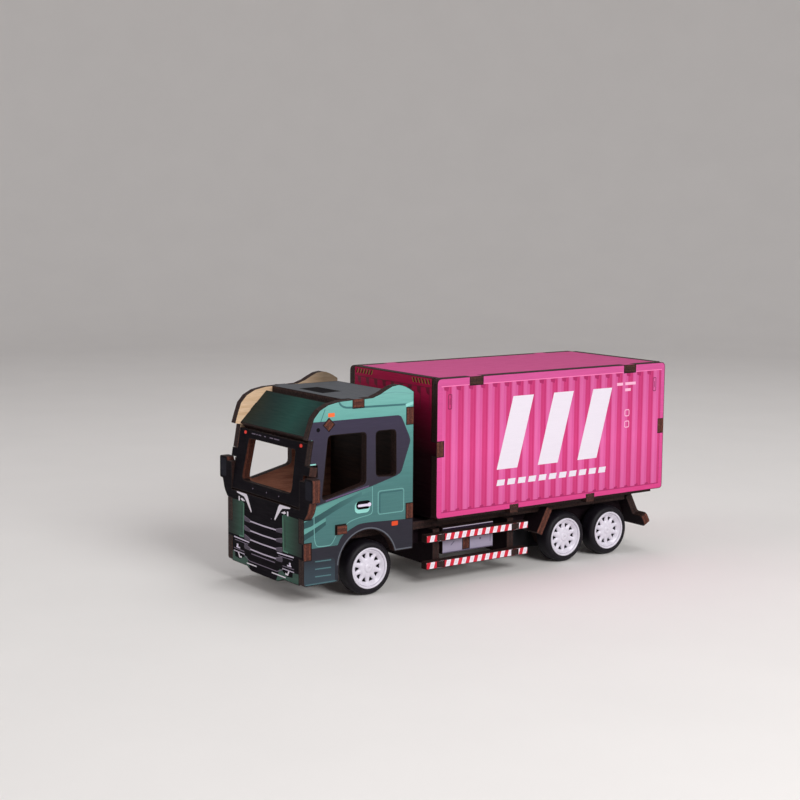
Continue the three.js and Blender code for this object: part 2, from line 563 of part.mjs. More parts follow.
function buildMotor() {
  const axle = new THREE.Vector2(AXLES.drive, WHEEL_RADIUS);
  const reachIdler = (MODULE * (TEETH.pinion + TEETH.idlerWheel)) / 2;
  const reachDrum = (MODULE * (TEETH.idlerPinion + TEETH.drum)) / 2;
  const ahead = (from, reach, rise) =>
    new THREE.Vector2(from.x - Math.sqrt(reach ** 2 - rise ** 2), from.y + rise);
  const idler = ahead(axle, reachIdler, IDLER_RISE);
  const drum = ahead(idler, reachDrum, DRUM_RISE);
  const toIdler = Math.atan2(idler.y - axle.y, idler.x - axle.x);
  const toDrum = Math.atan2(drum.y - idler.y, drum.x - idler.x);
  const halfTooth = (teeth) => Math.PI / teeth;
  const spin = (name, geometry, material, centre) =>
    add(name, geometry, material, (mesh) => {
      mesh.quaternion.setFromRotationMatrix(new THREE.Matrix4().makeBasis(Y, Z, X));
      mesh.position.set(0, centre.x, centre.y);
    });
  const bore = PIN_RADIUS + 0.06;
  spin("motor_axle_pinion", thick(gear(TEETH.pinion, toIdler, AXLE_RADIUS + 0.04), 3, -6.5), NYLON, axle);
  spin("motor_idler_gear", geometryOf(union(
    thick(gear(TEETH.idlerWheel, toIdler + Math.PI + halfTooth(TEETH.idlerWheel), bore), 2.4, -6.2),
    thick(gear(TEETH.idlerPinion, toDrum, bore), 3.9, -4),
  )), NYLON, idler);
  const cup = new THREE.Shape();
  cup.absarc(0, 0, 5.2, 0, 2 * Math.PI, false);
  cup.holes.push(roundHole(0, 0, 4.8));
  spin("motor_spring_drum", geometryOf(union(
    thick(gear(TEETH.drum, toDrum + Math.PI + halfTooth(TEETH.drum), bore), 2.4, -3.2),
    thick(disc(5.2, bore), 1, -1),
    thick(cup, 6.6, -0.2),
    thick(disc(1.2, bore), 6.6, -0.2),
  )), NYLON, drum);
  spin("motor_mainspring", thick(spiral(1.4, 4.5, 4, 0.22), 6, 0.3), STEEL, drum);
  for (const [name, centre] of [["motor_idler_pin", idler], ["motor_drum_pin", drum]]) {
    add(name, rod(PIN_RADIUS, 21, centre.x, centre.y, 12), STEEL);
  }

  const outer = { front: 99.2, rear: 125.6, base: 4.2, top: 19.8 };
  const wall = 1.1;
  const half = RAIL_INNER - 0.3;
  const block = (x0, x1, y0, y1, z0, z1) =>
    new THREE.BoxGeometry(x1 - x0, y1 - y0, z1 - z0).translate((x0 + x1) / 2, (y0 + y1) / 2, (z0 + z1) / 2);
  for (const [label, side] of SIDES) {
    const span = (a, b) => (side > 0 ? [a, b] : [-b, -a]);
    const [x0, x1] = span(0.05, half);
    const [hollow0, hollow1] = span(-1, half - wall);
    let shell = solid(block(x0, x1, outer.front, outer.rear, outer.base, outer.top));
    shell = shell.subtract(solid(block(hollow0, hollow1, outer.front + wall, outer.rear - wall,
      outer.base + wall, outer.top - wall)));
    shell = shell.subtract(solid(rod(AXLE_RADIUS + 0.2, 40, axle.x, axle.y)));
    for (const pin of [idler, drum]) {
      shell = shell.subtract(solid(rod(PIN_RADIUS + 0.05, 40, pin.x, pin.y)));
    }
    add(`motor_housing_${label}`, geometryOf(shell), HOUSING);
  }
}

buildCab();
buildContainer();
buildChassis();
buildWheels();
buildMotor();

export default model;
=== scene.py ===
"""Looks of the plywood container lorry: printed and laser-cut panels, plastic wheels and the spring motor.

Panel drawings are in millimetres: y is counted back from the front panel's face, x across, z up.
"""

import json
import math

import bpy
import numpy as np
from mathutils import Matrix, Vector, geometry


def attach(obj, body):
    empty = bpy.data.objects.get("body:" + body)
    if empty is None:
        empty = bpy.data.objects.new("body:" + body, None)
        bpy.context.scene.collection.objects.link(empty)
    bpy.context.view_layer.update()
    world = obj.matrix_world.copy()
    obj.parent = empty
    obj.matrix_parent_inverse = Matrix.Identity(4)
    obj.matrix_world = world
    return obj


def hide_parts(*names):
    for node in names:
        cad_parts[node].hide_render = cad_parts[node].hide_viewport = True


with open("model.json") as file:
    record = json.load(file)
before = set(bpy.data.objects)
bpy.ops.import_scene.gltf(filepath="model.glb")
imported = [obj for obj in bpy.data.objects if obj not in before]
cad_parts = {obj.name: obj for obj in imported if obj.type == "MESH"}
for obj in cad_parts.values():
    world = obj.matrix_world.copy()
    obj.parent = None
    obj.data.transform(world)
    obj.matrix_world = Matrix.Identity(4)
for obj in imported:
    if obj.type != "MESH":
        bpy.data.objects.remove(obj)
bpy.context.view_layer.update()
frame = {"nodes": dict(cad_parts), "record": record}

NODES = frame["nodes"]
BODY_OF = {n: b for b, ns in frame["record"]["behaviour"]["bodies"].items() for n in ns}
SLOT_OF = {s["node"]: s["material_slot"] for s in frame["record"]["subparts"]}
MM = 0.001
MIDDLE = 84.5  # the model's middle, back from the front panel's face
PLY = 3.0
CAB_HALF = 26.2  # the lorry's middle to the outer face of a cab side
BURN = 0.22  # width of the burnt line along a laser-cut edge
FLAT = 0.02  # how far the corners of one face may lie from its plane
WELD_STEPS = 500  # steps a millimetre of the grid on which a panel's vertices are welded
RAKE = math.radians(9.5)  # the windscreen panel leans back from upright
LEAN = math.radians(27.8)  # the mudflaps and the bumper plate lean from upright
FLUTE_PITCH = 5.62  # the container's printed corrugations


# ---- materials ---------------------------------------------------------------------------------
def rgb(code):
    """A colour like "d94f8a" as linear RGBA."""
    parts = [int(code[i : i + 2], 16) / 255 for i in (0, 2, 4)]
    return [c / 12.92 if c <= 0.04045 else ((c + 0.055) / 1.055) ** 2.4 for c in parts] + [1.0]


class Graph:
    """A node material under construction; textures are laid out in the object's own millimetres."""

    def __init__(self, name):
        self.mat = bpy.data.materials.new(name)
        self.mat.use_nodes = True
        self.tree = self.mat.node_tree
        self.tree.nodes.clear()
        self.shader = self.add("ShaderNodeBsdfPrincipled")
        out = self.add("ShaderNodeOutputMaterial")
        self.tree.links.new(self.shader.outputs[0], out.inputs[0])
        place = self.add("ShaderNodeTexCoord")
        scaled = self.add("ShaderNodeVectorMath", operation="SCALE")
        self.tree.links.new(place.outputs["Object"], scaled.inputs[0])
        scaled.inputs["Scale"].default_value = 1 / MM
        self.place = scaled.outputs[0]

    def add(self, kind, **settings):
        node = self.tree.nodes.new(kind)
        for key, value in settings.items():
            setattr(node, key, value)
        return node

    def put(self, socket, value):
        """A link if the value is a socket, or else the socket's own value."""
        if isinstance(value, bpy.types.NodeSocket):
            self.tree.links.new(value, socket)
        else:
            socket.default_value = value

    def math(self, operation, a, b=0.0):
        node = self.add("ShaderNodeMath", operation=operation)
        self.put(node.inputs[0], a)
        self.put(node.inputs[1], b)
        return node.outputs[0]

    def along(self, direction):
        """The distance along a direction, in millimetres."""
        node = self.add("ShaderNodeVectorMath", operation="DOT_PRODUCT")
        self.put(node.inputs[0], self.place)
        node.inputs[1].default_value = direction
        return node.outputs["Value"]

    def span(self, value, low, high, start=0.0, end=1.0):
        """The value mapped from low..high to start..end, and held at the ends."""
        node = self.add("ShaderNodeMapRange")
        self.put(node.inputs["Value"], value)
        for key, number in zip(("From Min", "From Max", "To Min", "To Max"), (low, high, start, end)):
            node.inputs[key].default_value = number
        return node.outputs["Result"]

    def noise(self, scale, detail=3.0, stretch=(1, 1, 1)):
        """Noise with about `scale` features a millimetre, stretched by the three factors."""
        mapping = self.add("ShaderNodeMapping")
        self.put(mapping.inputs["Vector"], self.place)
        mapping.inputs["Scale"].default_value = stretch
        node = self.add("ShaderNodeTexNoise")
        self.put(node.inputs["Vector"], mapping.outputs[0])
        node.inputs["Scale"].default_value = scale
        node.inputs["Detail"].default_value = detail
        return node.outputs[0]

    def ramp(self, value, stops):
        """Colours that change evenly from stop to stop as the value goes from 0 to 1."""
        node = self.add("ShaderNodeValToRGB")
        elements = node.color_ramp.elements
        while len(elements) < len(stops):
            elements.new(0.5)
        for element, (position, colour) in zip(elements, stops):
            element.position = position
            element.color = rgb(colour)
        self.put(node.inputs[0], value)
        return node.outputs[0]

    def mix(self, share, a, b, blend="MIX"):
        node = self.add("ShaderNodeMix", data_type="RGBA", blend_type=blend)
        self.put(node.inputs[0], share)
        self.put(node.inputs[6], a)
        self.put(node.inputs[7], b)
        return node.outputs[2]

    def shade(self, colour, amount):
        """The colour multiplied by a grey amount."""
        node = self.add("ShaderNodeVectorMath", operation="SCALE")
        self.put(node.inputs[0], colour[:3] if isinstance(colour, list) else colour)
        self.put(node.inputs["Scale"], amount)
        return node.outputs[0]

    def bump(self, height, strength, depth):
        """A normal from the height, whose relief is `depth` millimetres."""
        node = self.add("ShaderNodeBump")
        node.inputs["Strength"].default_value = strength
        node.inputs["Distance"].default_value = depth * MM
        self.put(node.inputs["Height"], height)
        return node.outputs[0]

    def finish(self, colour, rough, normal=None, metallic=0.0, coat=0.0, specular=0.5):
        shader = self.shader.inputs
        self.put(shader["Base Color"], colour)
        self.put(shader["Roughness"], rough)
        shader["Metallic"].default_value = metallic
        shader["Coat Weight"].default_value = coat
        shader["Coat Roughness"].default_value = 0.25
        shader["Specular IOR Level"].default_value = specular
        if normal is not None:
            self.put(shader["Normal"], normal)
        return self.mat


GRAIN = {"x": (0.12, 1.6, 1.6), "y": (1.6, 0.12, 1.6), "z": (1.6, 1.6, 0.12)}


def printed(g, colour, grain, rough=(0.36, 0.5), fade=0.1, gloss=0.25):
    """Ink laid on plywood: the grain shows through as faint streaks and relief."""
    streaks = g.noise(1.1, 4.0, GRAIN[grain])
    dots = g.noise(5.0, 1.0)
    colour = g.shade(colour, g.span(streaks, 0.3, 0.7, 1 - fade, 1.0))
    colour = g.shade(colour, g.span(dots, 0.3, 0.7, 0.96, 1.04))
    roughness = g.span(streaks, 0.3, 0.7, rough[1], rough[0])
    return g.finish(colour, roughness, g.bump(streaks, 0.35, 0.08), specular=gloss)


def ink(name, stops, direction=(0, 0, 1), low=0.0, high=1.0, grain="y", folded=False, **looks):
    """Ink shaded through the stops from low to high along a direction, the same both ways if folded."""
    g = Graph(name)
    if len(stops) == 1:
        stops = [(0.0, stops[0]), (1.0, stops[0])]
    place = g.along(direction)
    if folded:
        place = g.math("ABSOLUTE", place)
    colour = g.ramp(g.span(place, low, high), stops)
    return printed(g, colour, grain, **looks)


def corrugated():
    """Shaded flutes of a shipping container, printed flat, under a painted highlight across the middle of
    their height.
    """
    g = Graph("ink_flutes")
    phase = 300.0 + MIDDLE - 57.6  # keeps the sum positive and lays the flutes between the printed rails
    turn = g.math("FRACT", g.math("DIVIDE", g.math("ADD", g.along((0, 1, 0)), phase), FLUTE_PITCH))
    flute = g.ramp(
        turn,
        [(0.0, "c42b6c"), (0.07, "d24085"), (0.14, "de62a2"), (0.34, "e067a6"), (0.5, "da569a"),
         (0.6, "dc5c9e"), (0.66, "cc3677"), (0.9, "d03a7c"), (1.0, "c42b6c")],
    )
    # A painted highlight: the flutes are brightest a little below mid-height and a little darker toward the
    # top and bottom rails.
    lit = g.ramp(g.span(g.along((0, 0, 1)), 25, 76), [(0.0, "f0f0f0"), (0.45, "ffffff"), (1.0, "e8e8e8")])
    return printed(g, g.mix(1.0, flute, lit, "MULTIPLY"), "z", fade=0.06)


def cut_edge(name, layers, soot):
    """A laser-cut edge: three plies seen end on, browned by the beam; depth runs from face to face."""
    g = Graph(name)
    depth = g.add("ShaderNodeAttribute", attribute_name="depth").outputs["Fac"]
    wander = g.span(g.noise(0.8), 0.3, 0.7, -0.04, 0.04)
    plies = g.ramp(g.math("ADD", depth, wander), layers)
    streaks = g.noise(1.6, 3.0)
    fine = g.noise(7.0, 2.0)
    colour = g.mix(g.span(streaks, 0.35, 0.75, 0.0, 0.75), plies, rgb(soot))
    colour = g.shade(colour, g.span(fine, 0.3, 0.7, 0.82, 1.12))
    return g.finish(colour, g.span(streaks, 0.3, 0.7, 0.62, 0.8), g.bump(fine, 0.5, 0.06), specular=0.3)


def bare_wood(name, light, dark, grain, lit=None, top=None, dusk=None):
    """Bare ply. It may turn to the paler pair `lit` across the heights `top`, a painted highlight, and darken
    along `dusk`, painted shade.
    """
    g = Graph(name)
    rings = g.noise(0.5, 5.0, GRAIN[grain])
    pores = g.noise(3.0, 3.0, GRAIN[grain])
    share = g.span(rings, 0.35, 0.65)
    colour = g.mix(share, rgb(light), rgb(dark))
    if lit:
        pale = g.mix(share, rgb(lit[0]), rgb(lit[1]))
        colour = g.mix(g.span(g.along((0, 0, 1)), *top), colour, pale)
    if dusk:
        colour = g.shade(colour, g.span(g.along((0, 1, 0)), *dusk, 1.0, 0.25))
    colour = g.shade(colour, g.span(pores, 0.3, 0.6, 0.86, 1.03))
    return g.finish(colour, g.span(pores, 0.3, 0.7, 0.72, 0.58), g.bump(pores, 0.4, 0.08), specular=0.25)


def plastic(name, colour, rough, fleck=0.04, coat=0.0, relief=0.02, gloss=0.5):
    """Moulded plastic or rubber: a faint cloud in its tone and gloss, and a fine relief in mm."""
    g = Graph(name)
    cloud = g.noise(0.35, 4.0)
    fine = g.noise(9.0, 2.0)
    tone = g.shade(rgb(colour), g.span(cloud, 0.3, 0.7, 1 - fleck, 1 + fleck))
    roughness = g.span(cloud, 0.3, 0.7, rough - 0.06, rough + 0.06)
    return g.finish(tone, roughness, g.bump(fine, 0.3, relief), coat=coat, specular=gloss)


def brushed_steel(name, direction):
    g = Graph(name)
    lines = g.noise(6.0, 2.0, GRAIN[direction])
    tone = g.shade(rgb("b9b9be"), g.span(lines, 0.3, 0.7, 0.9, 1.05))
    return g.finish(tone, g.span(lines, 0.3, 0.7, 0.2, 0.38), g.bump(lines, 0.2, 0.02), metallic=1.0)


CHAR = ink("burn_line", ["1b0f0e"], rough=(0.7, 0.85))
# Three tones of one burnt ply edge, picked by which way a cut face looks: the lightest is painted light on
# faces looking out to the lorry's sides, the darker two are painted shade.
EDGE_LIT = cut_edge(
    "cut_edge_painted_light",
    [(0.0, "1f0f0d"), (0.06, "643325"), (0.3, "6e3a2a"), (0.34, "321812"), (0.38, "552a1f"),
     (0.62, "52281d"), (0.66, "30170f"), (0.7, "6c3929"), (0.94, "5f3023"), (1.0, "1f0f0d")],
    "25110e",
)
EDGE_HALF_SHADE = cut_edge(
    "cut_edge_painted_half_shade",
    [(0.0, "160b0a"), (0.06, "44241b"), (0.3, "4c291f"), (0.34, "24120e"), (0.38, "3c1f18"),
     (0.62, "3a1d17"), (0.66, "22110d"), (0.7, "49271e"), (0.94, "40221a"), (1.0, "160b0a")],
    "1c0e0c",
)
EDGE_SHADE = cut_edge(
    "cut_edge",
    [(0.0, "120a0b"), (0.06, "321a17"), (0.3, "3b201a"), (0.34, "190d0c"), (0.38, "2d1714"),
     (0.62, "2b1613"), (0.66, "180c0b"), (0.7, "38201a"), (0.94, "301916"), (1.0, "120a0b")],
    "140b0c",
)
BACK = bare_wood("bare_face", "d9b48c", "c49a70", "y")
# The bare inner faces of the cab sides and the roof's underside: darker brown as painted shade, paler at the
# top as painted light, and darker toward the back as painted shade.
BARE_SHADE_AND_LIGHT = bare_wood("bare_face_painted_shade_and_light", "c4826a", "9e6450", "y", lit=("e3c6a6", "d3b08c"), top=(54.0, 57.5),
                   dusk=(18 - MIDDLE, 40 - MIDDLE))
# Near black brown bare ply for the faces inside the cab, as painted shade.
CABIN_SHADE = bare_wood("bare_face_deep_shade", "2c1c18", "1c1110", "x")
DARK = ink("ink_dark", ["1d1218"], grain="y", rough=(0.6, 0.75), gloss=0.1)

TEAL = ink(
    "ink_teal",
    [(0.0, "436e6e"), (0.35, "477675"), (0.72, "508b87"), (0.86, "66a59e"), (1.0, "73b0a9")],
    low=20, high=72,
)
TEAL_DEEP = ink("ink_teal_deep", [(0.0, "2f565b"), (1.0, "3c6e70")], low=20, high=72)
TEAL_STREAK = ink("ink_teal_streak", [(0.0, "28494c"), (0.35, "2f5557"), (1.0, "477675")],
                  direction=(0, 1, 0), low=2 - MIDDLE, high=26 - MIDDLE)
TEAL_GLOW = ink("ink_teal_glow", [(0.0, "5f9a93"), (0.5, "588f89"), (1.0, "4b7b79")],
                direction=(0, 1, 0), low=2 - MIDDLE, high=26 - MIDDLE)
TEAL_PALE = ink("ink_teal_pale", ["8fd0c8"])
TEAL_LINE = ink("ink_teal_line", ["6a9f9c"])
STEP_LINE = ink("ink_step_line", ["4e7277"])
NAVY = ink("ink_navy", [(0.0, "262231"), (0.5, "2c2735"), (1.0, "363045")], low=20, high=64)
NAVY_LOW = ink("ink_navy_low", [(0.0, "20232b"), (1.0, "25222e")], low=7, high=26)
SLATE = ink("ink_slate", [(0.0, "35454f"), (0.6, "2e3a44"), (1.0, "23262f")], low=6, high=17)
ORANGE = ink("ink_orange", [(0.0, "d9471f"), (1.0, "f0703a")], low=24, high=67)
WHITE = ink("ink_white", ["e2dbe6"], fade=0.03)
SHADOW = ink("ink_shadow", ["0a080d"], rough=(0.7, 0.85), gloss=0.06)
PLUM = ink("ink_plum", ["5d4c6c"])
PLUM_INK = ink("ink_plum_dark", ["6a1240"])
SLATE_LINE = ink("ink_slate_line", ["5c6069"])
LILAC = ink("ink_lilac", ["d9cfe4"], fade=0.04)
SILVER = ink("ink_silver", ["c3b8cc"], grain="x", fade=0.05)
SILVER_DIM = ink("ink_silver_dim", ["75697d"], grain="x")
WINGLET = ink("ink_winglet", ["4a4152"], grain="x")
PEWTER = ink("ink_pewter", ["9c94a9"], fade=0.06)
PENCIL = ink("ink_pencil", ["5c546b"])
MAUVE = ink("ink_mauve", ["2a2030"], gloss=0.1)
MIRROR = ink("ink_mirror", ["0e0d1c"], rough=(0.45, 0.6), gloss=0.1)
NIGHT = ink("ink_night", ["0c070f"], grain="x", rough=(0.62, 0.78), gloss=0.07)
GREEN = ink("ink_green", [(0.0, "2c5547"), (1.0, "213f36")], low=6, high=12, grain="x")
GREEN_FADE = ink("ink_green_fade", [(0.0, "2c5948"), (0.3, "285041"), (0.65, "1b382e"), (1.0, "0d1815")],
                 direction=(1, 0, 0), low=12, high=24, grain="x", folded=True, gloss=0.15)
GREEN_PALE = ink("ink_green_pale", ["4d7b68"], grain="x")
GREEN_DEEP = ink("ink_green_deep", ["142a24"], grain="x")
VISOR = ink(
    "ink_visor",
    [(0.0, "0c1c1c"), (0.3, "102c2a"), (0.6, "1b4740"), (0.75, "193f3a"), (1.0, "0b1b1a")],
    direction=(1, 0, 0.5), low=6, high=58, grain="x", gloss=0.12,
)
ROOF_GREY = ink("ink_roof", ["54575c"], grain="x", rough=(0.66, 0.8))
RED = ink("ink_red", ["cf2138"])
SCARLET = ink("ink_scarlet", ["ee3a2c"])
HAZARD_WHITE = ink("ink_hazard_white", ["ece4ec"], fade=0.04)
PINK_RAIL = ink("ink_pink_rail", [(0.0, "d43f84"), (0.5, "d64d91"), (1.0, "cc5292")], low=25, high=76)
PINK_SIDE = ink("ink_pink_side", [(0.0, "d33f83"), (1.0, "d84c8d")], low=25, high=76, grain="x")
PINK_DEEP = ink("ink_pink_deep", ["a82361"])
PINK_LIGHT = ink("ink_pink_light", ["f07fb5"])
PINK_PALE = ink("ink_pink_pale", ["f2b7d3"])
PINK_ROOF = ink("ink_pink_roof", [(0.0, "c9508a"), (1.0, "c44a85")],
                direction=(0, 1, 0), low=-30, high=84, rough=(0.66, 0.8))
# The front wall darkens from crimson at the top to near black at the bottom: painted shade in the gap behind
# the cab.
CRIMSON_SHADED = ink(
    "ink_crimson",
    [(0.0, "16040c"), (0.45, "2c0614"), (0.62, "5e0a26"), (0.84, "9c1240"), (1.0, "b3164a")],
    low=25, high=76, grain="x", rough=(0.5, 0.66), gloss=0.12,
)
CRIMSON_LOW = ink("ink_crimson_low", ["6a0c2c"], grain="x")
OCHRE = ink("ink_ochre", ["8f6a2c"], grain="x")
FLUTES = corrugated()


# ---- drawing on panels -------------------------------------------------------------------------
def arc(centre, radius, start, end, steps):
    angles = [math.radians(start + (end - start) * i / steps) for i in range(steps + 1)]
    return [(centre[0] + radius * math.cos(a), centre[1] + radius * math.sin(a)) for a in angles]


def circle(centre, radius):
    steps = 16
    return [arc(centre, radius, 0, 360 * (1 - 1 / steps), steps - 1)]


def rounded(u0, u1, v0, v1, radius):
    """A rectangle with round corners."""
    corners = [((u1 - radius, v0 + radius), 270), ((u1 - radius, v1 - radius), 0),
               ((u0 + radius, v1 - radius), 90), ((u0 + radius, v0 + radius), 180)]
    return [[p for centre, start in corners for p in arc(centre, radius, start, start + 90, 4)]]


def box(u0, u1, v0, v1):
    return [[(u0, v0), (u1, v0), (u1, v1), (u0, v1)]]


def smooth(points):
    """A Catmull-Rom curve through the points."""
    steps = 6
    p = [points[0], *points, points[-1]]
    out = []
    for i in range(1, len(p) - 2):
        for k in range(steps):
            t = k / steps
            out.append(tuple(
                0.5 * (2 * p[i][j] + (p[i + 1][j] - p[i - 1][j]) * t
                       + (2 * p[i - 1][j] - 5 * p[i][j] + 4 * p[i + 1][j] - p[i + 2][j]) * t * t
                       + (3 * p[i][j] - 3 * p[i + 1][j] + p[i + 2][j] - p[i - 1][j]) * t ** 3)
                for j in (0, 1)))
    return out + [points[-1]]


def offset(points, distance, closed=True):
    """The points moved to their left by a distance, with mitred corners."""
    pts = np.array(points, float)
    ahead = np.roll(pts, -1, 0) - pts
    ahead /= np.linalg.norm(ahead, axis=1)[:, None]
    left = np.stack([-ahead[:, 1], ahead[:, 0]], 1)
    before = np.roll(left, 1, 0)
    if not closed:
        left[-1] = left[-2]
        before[0] = left[0]
    mitre = 1 / np.maximum(1 + (before * left).sum(1), 0.35)
    return [tuple(p) for p in pts + (before + left) * mitre[:, None] * distance]


def band(points, width, closed=False):
    """A line of that width through the points."""
    one = offset(points, width / 2, closed)
    two = offset(points, -width / 2, closed)
    return [one, two] if closed else [one + two[::-1]]


def both(regions, about=0.0):
    """The regions and their mirror image about an upright line."""
    return regions + [(m, [[(2 * about - u, v) for u, v in loop] for loop in loops]) for m, loops in regions]


def inside(points, loops):
    """Which points lie inside the loops, by the even-odd rule."""
    x, y = points[:, 0], points[:, 1]
    odd = np.zeros(len(points), bool)
    for loop in loops:
        for (x0, y0), (x1, y1) in zip(loop, loop[1:] + loop[:1]):
            if y0 != y1:
                odd ^= ((y0 > y) != (y1 > y)) & (x < (x1 - x0) * (y - y0) / (y1 - y0) + x0)
    return odd


def triangulate(loops, segments=()):
    """Constrained Delaunay triangles of the loops and segments: points (n, 2) and triangles (m, 3)."""
    points, edges = [], []
    for pair in segments:
        edges.append((len(points), len(points) + 1))
        points += [Vector(p) for p in pair]
    for loop in loops:
        start = len(points)
        points += [Vector(p) for p in loop]
        edges += [(start + i, start + (i + 1) % len(loop)) for i in range(len(loop))]
    found = geometry.delaunay_2d_cdt(points, edges, [], 0, 1e-4)
    return np.array([tuple(p) for p in found[0]]), np.array([t for t in found[2] if len(t) == 3])


def rim_edges(triangles):
    """The edges that only one triangle has, each running the way its triangle does."""
    directed = {(int(t[i]), int(t[(i + 1) % 3])) for t in triangles for i in range(3)}
    return [(a, b) for a, b in sorted(directed) if (b, a) not in directed]


def rim_loops(triangles):
    """Closed loops of vertex numbers along those edges."""
    after = dict(rim_edges(triangles))
    loops = []
    while after:
        start, here = after.popitem()
        loop = [start]
        while here != start:
            loop.append(here)
            here = after.pop(here)
        loops.append(loop)
    return loops


def signed_area(loop):
    return sum(a[0] * b[1] - b[0] * a[1] for a, b in zip(loop, loop[1:] + loop[:1])) / 2


class Sheet:
    """A flat panel of the frame, redrawn with its print, its burnt cut edges and its bare back."""

    def __init__(self, node, normal):
        mesh = NODES[node].data
        co = np.array([v.co for v in mesh.vertices], float) / MM
        keys = {}
        number = [keys.setdefault(tuple(k), len(keys)) for k in np.round(co * 1000).astype(int)]
        self.points = np.zeros((len(keys), 3))
        self.points[number] = co
        mesh.calc_loop_triangles()
        triangles = np.array([[number[i] for i in t.vertices] for t in mesh.loop_triangles])
        kept = [t for t in triangles if len(set(t)) == 3]
        self.node, self.normal = node, np.array(normal, float)
        self.level = (self.points @ self.normal).max()
        depth = self.level - self.points @ self.normal
        front = [t for t in kept if depth[t].max() < FLAT]
        self.back = [t for t in kept if depth[t].min() > PLY - FLAT]
        self.cut = [t for t in kept if depth[t].max() >= FLAT and depth[t].min() <= PLY - FLAT]
        # the panel is drawn along the two axes that it faces least; y is dropped if y and z are even
        self.third = int(np.argmax(np.abs(self.normal) - (0, 0, 1e-3)))
        self.plane = [i for i in range(3) if i != self.third]
        self.origin = np.array([-MIDDLE if i == 1 else 0.0 for i in self.plane])
        self.outline = [[tuple(self.flat(self.points[i])) for i in loop] for loop in rim_loops(front)]

    def cut_kinds(self):
        """0 for most cut faces, 1 for those looking across the lorry, 2 for such faces at tabs' ends; each
        kind gets its own edge tone, lighter or darker as painted light and painted shade.
        """
        a, b, c = (self.points[np.array(self.cut)[:, k]] for k in range(3))
        facing = np.cross(b - a, c - a)
        across = np.abs(facing[:, 0]) > 0.7 * np.linalg.norm(facing, axis=1)
        reach = min(np.abs(self.points[:, 0]).max() - 0.4 * PLY, CAB_HALF - 0.3)
        return across * np.where(np.abs(a[:, 0] + b[:, 0] + c[:, 0]) / 3 > reach, 2, 1)

    def flat(self, p):
        """A point of the frame on the drawing."""
        return p[self.plane] - self.origin

    def lift(self, q):
        """Drawn points on the panel's front face."""
        out = np.zeros((len(q), 3))
        out[:, self.plane] = q + self.origin
        rest = self.level - out @ self.normal
        out[:, self.third] = rest / self.normal[self.third]
        return out

    def build(self, name, base, regions=(), back=BACK, tabs=EDGE_LIT, reveal=EDGE_SHADE):
        """The new panel; a region is a material and its loops, and a later one covers an earlier one."""
        loops = self.outline
        biggest = max(loops, key=lambda loop: abs(signed_area(loop)))
        turn = 1 if signed_area(biggest) > 0 else -1
        inner = [offset(loop, BURN * turn) for loop in loops]
        q, t = triangulate(inner + [loop for _, shape in regions for loop in shape])
        centres = q[t].mean(1)
        held = inside(centres, inner)
        t, centres = t[held], centres[held]
        paint = np.zeros(len(t), int)
        # the cut faces take the edge tones by their kind: painted shade on most, painted light or shade on
        # those looking across the lorry
        palette = [base, CHAR, back, EDGE_SHADE, reveal, tabs]
        char_slot, back_slot, cut_slot = 1, 2, 3
        for material, shape in regions:
            if material not in palette:
                palette.append(material)
            paint[inside(centres, shape)] = palette.index(material)
        rims = [(tuple(q[a]), tuple(q[b])) for a, b in rim_edges(orient(q, t, turn))]
        ring_q, ring_t = triangulate(loops, rims)
        centres = ring_q[ring_t].mean(1)
        ring_t = ring_t[inside(centres, loops) & ~inside(centres, inner)]
        parts = [
            (self.lift(q), orient(q, t, turn), paint),
            (self.lift(ring_q), orient(ring_q, ring_t, turn), np.full(len(ring_t), char_slot)),
            (self.points, self.cut, cut_slot + self.cut_kinds()),
            (self.points, self.back, np.full(len(self.back), back_slot)),
        ]
        keys, verts, faces, slots = {}, [], [], []
        for co, tris, which in parts:
            for tri, index in zip(tris, which):
                face = []
                for i in tri:
                    key = tuple(np.round(co[i] * WELD_STEPS).astype(int))
                    if key not in keys:
                        keys[key] = len(verts)
                        verts.append(co[i])
                    face.append(keys[key])
                if len(set(face)) == 3:
                    faces.append(face)
                    slots.append(int(index))
        verts = np.array(verts)
        mesh = bpy.data.meshes.new(name)
        mesh.from_pydata((verts * MM).tolist(), [], faces)
        for material in palette:
            mesh.materials.append(material)
        mesh.polygons.foreach_set("material_index", slots)
        depth = mesh.attributes.new("depth", "FLOAT", "POINT")
        depth.data.foreach_set("value", (self.level - verts @ self.normal) / PLY)
        show(name, mesh, self.node)


def orient(q, triangles, turn):
    """The triangles turned so that they all run the same way round."""
    out = []
    for a, b, c in triangles:
        area = (q[b][0] - q[a][0]) * (q[c][1] - q[a][1]) - (q[c][0] - q[a][0]) * (q[b][1] - q[a][1])
        out.append((a, b, c) if area * turn > 0 else (a, c, b))
    return np.array(out)


def show(name, mesh, node):
    """A visible piece in place of a node of the frame."""
    piece = bpy.data.objects.new(name, mesh)
    bpy.context.scene.collection.objects.link(piece)
    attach(piece, BODY_OF[node])
    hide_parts(node)


